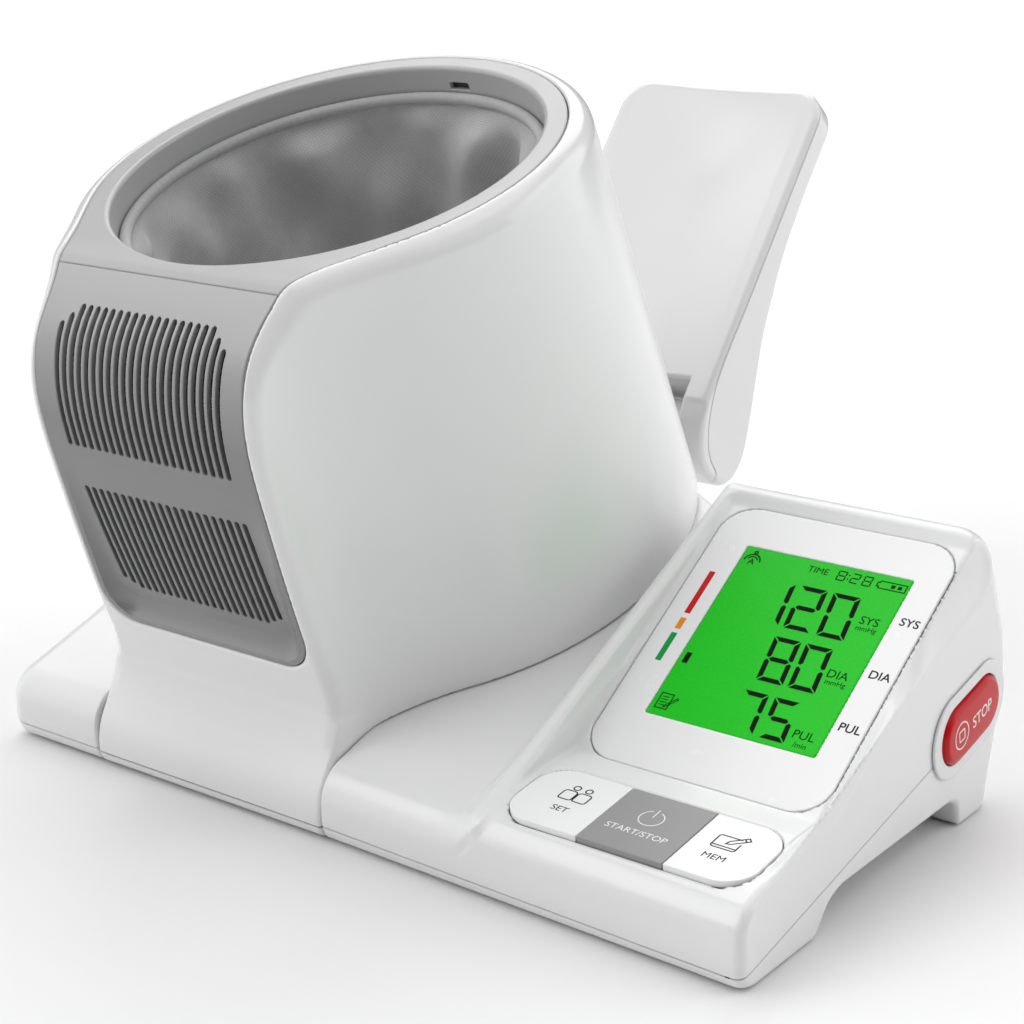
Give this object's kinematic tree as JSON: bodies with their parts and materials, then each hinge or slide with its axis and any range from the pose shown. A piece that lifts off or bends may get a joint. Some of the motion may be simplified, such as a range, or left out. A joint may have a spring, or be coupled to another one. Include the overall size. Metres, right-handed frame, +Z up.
{
  "type": "blood pressure monitor",
  "caption": "Arm-in blood pressure monitor: tilting cuff drum and folding arm rest on a wedge base with a lit display, keys and a red stop button.",
  "frame": {"origin": "centre of the overall box, on the table under the rubber feet", "axes": "+X to the right along the front edge, towards the display console; +Y to the back; +Z up"},
  "size_m": [0.3232, 0.3586, 0.2422],
  "materials": {
    "shell_white": "gloss",
    "trim_grey": "satin",
    "hinge_grey": "satin",
    "frame_dark": "matte",
    "lens": "gloss",
    "lcd": "lit",
    "key_white": "satin",
    "key_grey": "satin",
    "button_red": "gloss",
    "bezel_grey": "gloss",
    "cuff_fabric": "woven",
    "bladder_rubber": "matte",
    "hose_rubber": "matte",
    "foot_rubber": "matte",
    "circuit_board": "satin",
    "switch_black": "satin",
    "inlet_black": "satin",
    "spacer_foam": "matte",
    "cell_wrap": "gloss",
    "contact_plate": "plated",
    "fastener_steel": "zinc",
    "pin_steel": "turned",
    "washer": "matte",
    "pump_plastic": "matte",
    "motor_steel": "satin"
  },
  "bodies": {
    "base": {"base_upper_shell": "shell_white", "base_lower_shell": "shell_white", "base_screws": "fastener_steel", "rubber_feet": "foot_rubber", "drum_hinge_pins": "pin_steel", "battery_cells": "cell_wrap", "battery_contacts": "contact_plate", "power_inlet": "inlet_black", "lens_window": "lens", "lcd_module": "lcd", "lcd_spacers": "spacer_foam", "main_board": "circuit_board", "buzzer": "inlet_black", "key_switches": "switch_black", "key_board": "circuit_board", "stop_bezel": "bezel_grey", "stop_switch": "switch_black", "stop_board": "circuit_board", "arm_rest_bracket": "hinge_grey", "bracket_screws": "fastener_steel", "arm_rest_pin": "pin_steel", "friction_washers": "washer"},
    "drum": {"drum_shell_left": "shell_white", "drum_shell_right": "shell_white", "foot_cover": "shell_white", "foot_pan": "shell_white", "top_ring": "trim_grey", "grille_panel": "trim_grey", "rear_panel": "trim_grey", "cuff_frame": "frame_dark", "drum_floor_ring": "frame_dark", "drum_screws": "fastener_steel", "air_bladder": "bladder_rubber", "cuff_sleeve": "cuff_fabric", "cuff_piping": "cuff_fabric", "pump_tray": "frame_dark", "air_pump": "pump_plastic", "pump_motor": "motor_steel", "release_valve": "motor_steel", "sensor_board": "circuit_board", "pressure_sensor": "switch_black", "air_hose": "hose_rubber"},
    "arm_rest": {"arm_rest_panel": "shell_white", "arm_rest_back": "shell_white", "arm_rest_screws": "fastener_steel"},
    "key_left": {"key_set": "key_white"},
    "key_middle": {"key_start": "key_grey"},
    "key_right": {"key_memory": "key_white"},
    "stop": {"stop_button": "button_red"},
    "battery_cover": {"battery_door": "shell_white"}
  },
  "joints": [
    {"name": "drum_tilt", "type": "hinge", "parent": "base", "child": "drum", "pos_m": [-0.0556, -0.1504, 0.008], "axis": [1, 0, 0], "range_deg": [0, 20]},
    {"name": "arm_rest_fold", "type": "hinge", "parent": "base", "child": "arm_rest", "pos_m": [-0.0556, 0.0976, 0.082], "axis": [1, 0, 0], "range_deg": [-20, 40]},
    {"name": "key_left_press", "type": "slide", "parent": "base", "child": "key_left", "axis": [0, 0.1386, -0.9903], "range_m": [0, 0.0008], "stiffness_N_per_m": 1500, "springref_m": -0.0004},
    {"name": "key_middle_press", "type": "slide", "parent": "base", "child": "key_middle", "axis": [0, 0.1386, -0.9903], "range_m": [0, 0.0008], "stiffness_N_per_m": 1500, "springref_m": -0.0004},
    {"name": "key_right_press", "type": "slide", "parent": "base", "child": "key_right", "axis": [0, 0.1386, -0.9903], "range_m": [0, 0.0008], "stiffness_N_per_m": 1500, "springref_m": -0.0004},
    {"name": "stop_press", "type": "slide", "parent": "base", "child": "stop", "axis": [-1, 0, 0], "range_m": [0, 0.002], "stiffness_N_per_m": 1200, "springref_m": -0.0004},
    {"name": "battery_cover_slide", "type": "slide", "parent": "base", "child": "battery_cover", "axis": [0, -1, 0], "range_m": [0, 0.008]}
  ]
}
